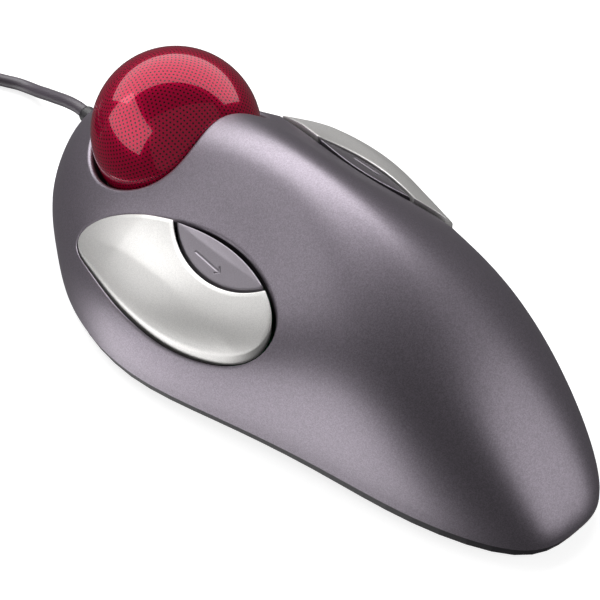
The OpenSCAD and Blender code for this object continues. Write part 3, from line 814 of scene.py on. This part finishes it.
def top_shell():
    """Painted shell: rounded at the socket and at both button openings, hollow inside."""
    shape = Shape()
    right = opening_ring()
    left = right[::-1] * (-1, 1)
    outline = evenly(OUTLINE, 1.0, closed=True)
    rows = socket_rows()
    rim = rows[0][:, :2]
    loops = [outline, right, left, rim]
    painted_rows = 8

    # outer skin
    steps = ring_steps(EDGE_ROUND)[1:]
    beside = [offset_ring(right, -step) for step in [*steps, EDGE_ROUND, SKIN_STEP]]
    beside += [ring[::-1] * (-1, 1) for ring in beside]
    away = (rim - BALL_AT[:2]) / np.linalg.norm(rim - BALL_AT[:2], axis=1)[:, None]
    beside += [rim + SKIN_STEP / 2 * away]
    rings = np.vstack(beside)
    grid = unstretch(grid_in((-60, -110), (60, 110), SKIN_STEP))
    in_body = np.hypot(*grid.T) < 0.9985 * edge_r(*grid.T)
    grid = grid[in_body]
    clear = np.ones(len(grid), bool)
    for ring, gap in ((right, OPENING_GAP), (left, OPENING_GAP), (rim, SKIN_STEP)):
        clear &= (distance_to(grid, ring) > gap) & ~inside(grid, ring)
    in_skin = np.hypot(*rings.T) < 0.997 * edge_r(*rings.T)

    def on_skin(middle):
        kept = inside(middle, outline)
        for hole in (right, left, rim):
            kept &= ~inside(middle, hole)
        return kept

    flat, faces = fill(loops, np.vstack([rings[in_skin], grid[clear]]), on_skin, stretch)
    height = skin_z(*flat.T)
    edge = np.minimum(distance_to(flat, right), distance_to(flat, left))
    height -= rounded_drop(edge, EDGE_ROUND)
    height[:len(outline)] = SEAM_Z
    shape.add(lifted(flat, np.maximum(height, SEAM_Z)), faces)

    # rounded rim and socket wall: the wall below the rounding is near-black, partly unpainted
    # plastic, partly painted shade for the dark gap round the ball
    for number, (upper, lower) in enumerate(zip(rows, rows[1:])):
        shape.strip(upper, lower, 0 if number < painted_rows else 1)
    collar = collar_rows()
    shape.strip(rows[-1], collar[0], 1)
    for upper, lower in zip(collar, collar[1:]):
        shape.strip(upper, lower, 1)

    # walls of the button openings, near-black as painted shade in the gaps round the buttons
    for ring in (right, left):
        top = skin_z(*ring.T) - EDGE_ROUND
        shape.strip(lifted(ring, top), lifted(ring, opening_foot(ring)), 1)

    # inner skin, and the flat edge under the wall
    inner = outline * (1 - WALL / np.hypot(*outline.T))[:, None]
    collar_top = collar[-1]
    coarse = grid_in((-45, -85), (45, 85), INNER_STEP)
    clear = np.hypot(*coarse.T) < edge_r(*coarse.T) - WALL - 1.5
    for ring in (right, left, collar_top[:, :2]):
        clear &= (distance_to(coarse, ring) > 2) & ~inside(coarse, ring)

    def in_wall(middle):
        kept = inside(middle, inner)
        for hole in (right, left, collar_top[:, :2]):
            kept &= ~inside(middle, hole)
        return kept

    flat, faces = fill([inner, right, left, collar_top[:, :2]], coarse[clear], in_wall)
    height = skin_z(*flat.T, WALL)
    start = len(inner)
    for ring in (right, left):
        height[start:start + len(ring)] = opening_foot(ring)
        start += len(ring)
    height[start:start + len(collar_top)] = collar_top[:, 2]
    height[:len(inner)] = SEAM_Z
    shape.add(lifted(flat, height), faces, 1)
    shape.strip(lifted(outline, np.full(len(outline), SEAM_Z)),
                lifted(inner, np.full(len(inner), SEAM_Z)), 1)

    # posts for the case screws
    for x, y in SCREW_PLACES:
        turns = np.linspace(0, 2 * math.pi, 16)
        top = skin_z(x + 3.2 * np.cos(turns), y + 3.2 * np.sin(turns), WALL).min() + 0.5
        profile = [(0, 11), (1.3, 11), (1.3, 6), (3.2, 6), (3.2, top), (0, top)]
        shape.add(*lathe(profile, 32, place_of((x, y, 0))), 1)
    return shape.make("painted_shell", shell_paint, black_liner_and_gap_shade, sharp=40)


# ---- buttons ----

def cut_by_arc(radius, keep_outside):
    """The leaf's part outside or inside the arc's circle, closed along the arc.

    Returns the closed line, and how many of its first points lie on the leaf."""
    leaf = leaf_ring(0.15)
    far = np.linalg.norm(leaf - ARC_CENTRE, axis=1)
    kept = far > radius if keep_outside else far < radius
    starts = np.flatnonzero(kept & ~np.roll(kept, 1))[0]
    leaf, far, kept = (np.roll(values, -starts, 0) for values in (leaf, far, kept))
    count = int(np.argmin(kept)) if not kept.all() else len(kept)

    def crossing(i, j):
        share = (radius - far[i]) / (far[j] - far[i])
        return leaf[i] + share * (leaf[j] - leaf[i])

    first, last = crossing(-1, 0), crossing(count - 1, count)
    along_leaf = evenly(np.vstack([first, leaf[1:count - 1], last]), 0.5)
    angles = [math.atan2(*(p - ARC_CENTRE)[::-1]) for p in (last, first)]
    turns = np.linspace(*angles, max(3, round(abs(angles[1] - angles[0]) * radius / 0.5)) + 1)
    along_arc = ARC_CENTRE + radius * np.stack([np.cos(turns), np.sin(turns)], 1)
    return np.vstack([along_leaf, along_arc[1:-1]]), len(along_leaf)


def soft_ramp(t, softness):
    """Zero under t = 0 and t above it, with a soft bend between."""
    return 0.5 * (t + np.sqrt(t * t + softness)) - 0.5 * np.sqrt(softness) * np.exp(-np.abs(t) * 3)


LARGE_ROUND = 0.3
SMALL_ROUND = 0.22
SLOPE_DROP = 0.16
SLOPE_WIDTH = 0.9


def large_top(points, ring):
    """Height of a large button: it stands proud, with a narrow slope and a rounding at its edge."""
    edge = distance_to(points, ring)
    proud = rise_at(*points.T, BUTTON_RISE)
    share = np.clip(proud / BUTTON_RISE, 0.1, 1)
    slope = SLOPE_DROP * share * soft_ramp(1 - edge / SLOPE_WIDTH, 0.01)
    return skin_z(*points.T) + proud - slope - rounded_drop(edge, LARGE_ROUND)


# The arrow's line and barbs in plan, and the depth and half width of its groove
ARROW = np.array([(23.5, 12), (23.9, 3.6)])
ARROW_BARBS = [np.array([(23.9, 3.6), (24.5, 4.5)]), np.array([(23.9, 3.6), (23.2, 4.4)])]
ARROW_DEPTH = 0.16
ARROW_HALF_WIDTH = 0.24


def small_top(points, ring, on_leaf):
    """Height of a small button: a lengthwise crease, and an arrow cut into its flat part."""
    edge = distance_to(points, ring)
    to_leaf = distance_to(points, ring[:on_leaf], closed=False)
    to_arc = distance_to(points, np.vstack([ring[on_leaf - 1:], ring[:1]]), closed=False)
    width = to_leaf + to_arc
    crease = 0.26 * width * soft_ramp(0.34 - to_leaf / np.maximum(width, 0.01), 0.0004)
    groove = np.minimum.reduce([distance_to(points, line, closed=False)
                                for line in (ARROW, *ARROW_BARBS)])
    cut = ARROW_DEPTH * np.clip(1 - (groove / ARROW_HALF_WIDTH) ** 2, 0, 1)
    proud = skin_z(*points.T) + rise_at(*points.T, SMALL_RISE)
    return proud - crease - cut - rounded_drop(edge, SMALL_ROUND)


def cap(ring, top, steps, spacing, thickness, close=()):
    """Closed cap over a closed line, with walls and an underside that follows the skin.

    top gives the height of the upper surface, steps the distances from the line at which it
    gets rings of points, and close the lines near which it gets a finer grid."""
    ring = counter_clockwise(ring)
    low, high = ring.min(0), ring.max(0)
    rings = []
    for step in steps:
        moved = offset_ring(ring, step)
        rings.append(moved[inside(moved, ring) & (distance_to(moved, ring) > step - 0.02)])
    grid = grid_in(low, high, spacing)
    grid = grid[inside(grid, ring)]
    grid = grid[distance_to(grid, ring) > steps[-1] + 0.5 * spacing]
    loose = np.vstack([*rings, grid])
    for line, reach, step in close:
        near = grid_in(line.min(0) - reach, line.max(0) + reach, step)
        near = near[distance_to(near, line, closed=False) < reach]
        loose = loose[distance_to(loose, line, closed=False) > reach]
        loose = np.vstack([loose, near])
    flat, faces = fill([ring], loose, lambda middle: inside(middle, ring))
    shape = Shape()
    height = top(flat)
    shape.add(lifted(flat, height), faces)

    def underside(points):
        return lifted(points, skin_z(*points.T) + rise_at(*points.T, BUTTON_RISE) - thickness)

    shape.strip(lifted(ring, height[:len(ring)]), underside(ring))
    coarse = grid_in(low, high, 2.5)
    coarse = coarse[inside(coarse, ring)]
    coarse = coarse[distance_to(coarse, ring) > 1]
    flat, faces = fill([ring], coarse, lambda middle: inside(middle, ring))
    shape.add(underside(flat), faces)
    return shape


def mirrored(shape, side):
    """The shape on the right side, or its mirror image on the left."""
    if side == "left":
        shape.points = [(-x, y, z) for x, y, z in shape.points]
    return shape


# Plan of the web between a large button and its hinge
HINGE_WEB = np.array([(26.6, 37.8), (31.2, 37.8), (31.2, 42.2), (28.8, 42.2), (27.3, 40.1)])


def large_button(side):
    ring, _ = cut_by_arc(ARC_R + ARC_GAP, keep_outside=True)
    steps = [*ring_steps(LARGE_ROUND, 4)[1:], LARGE_ROUND, 0.5, 0.7, 0.8, 0.88, 0.96, 1.1, 1.4]
    shape = cap(ring, lambda points: large_top(points, ring), steps, 0.6, 3.2)
    web_foot = np.full(len(HINGE_WEB), HINGE_AT[2] + 1.4)
    across = Matrix.Rotation(math.pi / 2, 4, "Y")
    bore = [(1.05, -2.4), (2.2, -2.4), (2.2, 2.4), (1.05, 2.4), (1.05, -2.4)]
    shape.add(*lathe(bore, 48, place_of(HINGE_AT, across)))
    shape.strip(lifted(HINGE_WEB, skin_z(*HINGE_WEB.T) - 1.2), lifted(HINGE_WEB, web_foot))
    shape.add(lifted(HINGE_WEB, web_foot), [range(len(HINGE_WEB))])
    actuator = [(0, 14.7), (1.5, 14.7), (1.6, 14.8), (1.6, 22.7), (0, 22.7)]
    shape.add(*lathe(actuator, 32, place_of((31, 2, 0))))
    obj = mirrored(shape, side).make(f"{side}_button_cap", button_silver, sharp=40)
    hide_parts(f"{side}_button")
    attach(obj, f"{side}_key")


def small_button(side):
    ring, on_leaf = cut_by_arc(ARC_R, keep_outside=False)
    steps = [*ring_steps(SMALL_ROUND, 3)[1:], SMALL_ROUND, 0.4]
    close = [(line, 0.5, 0.11) for line in (ARROW, *ARROW_BARBS)]
    shape = cap(ring, lambda points: small_top(points, ring, on_leaf), steps, 0.3, 3.4, close)
    stem = [(0, 11.65), (1.4, 11.65), (1.5, 11.75), (1.5, 28.6), (0, 28.6)]
    shape.add(*lathe(stem, 40, place_of((23, 6.3, 0))))
    obj = mirrored(shape, side).make(f"{side}_small_cap", button_paint, sharp=40)
    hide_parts(f"{side}_small_button")
    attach(obj, f"{side}_small_key")


# ---- ball ----

def red_ball():
    mesh = bpy.data.meshes.new("red_ball")
    ball = bmesh.new()
    bmesh.ops.create_icosphere(ball, subdivisions=6, radius=BALL_R * MM,
                               matrix=Matrix.Translation(Vector(BALL_AT) * MM))
    ball.to_mesh(mesh)
    ball.free()
    mesh.polygons.foreach_set("use_smooth", [True] * len(mesh.polygons))
    mesh.materials.append(ball_red)
    obj = bpy.data.objects.new("red_ball", mesh)
    bpy.context.scene.collection.objects.link(obj)
    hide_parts("ball")
    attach(obj, "ball_body")
    return obj


shell = top_shell()
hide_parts("top_shell")
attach(shell, "root")
for side in ("left", "right"):
    large_button(side)
    small_button(side)
add_lamps(red_ball())
finish_cad_nodes()
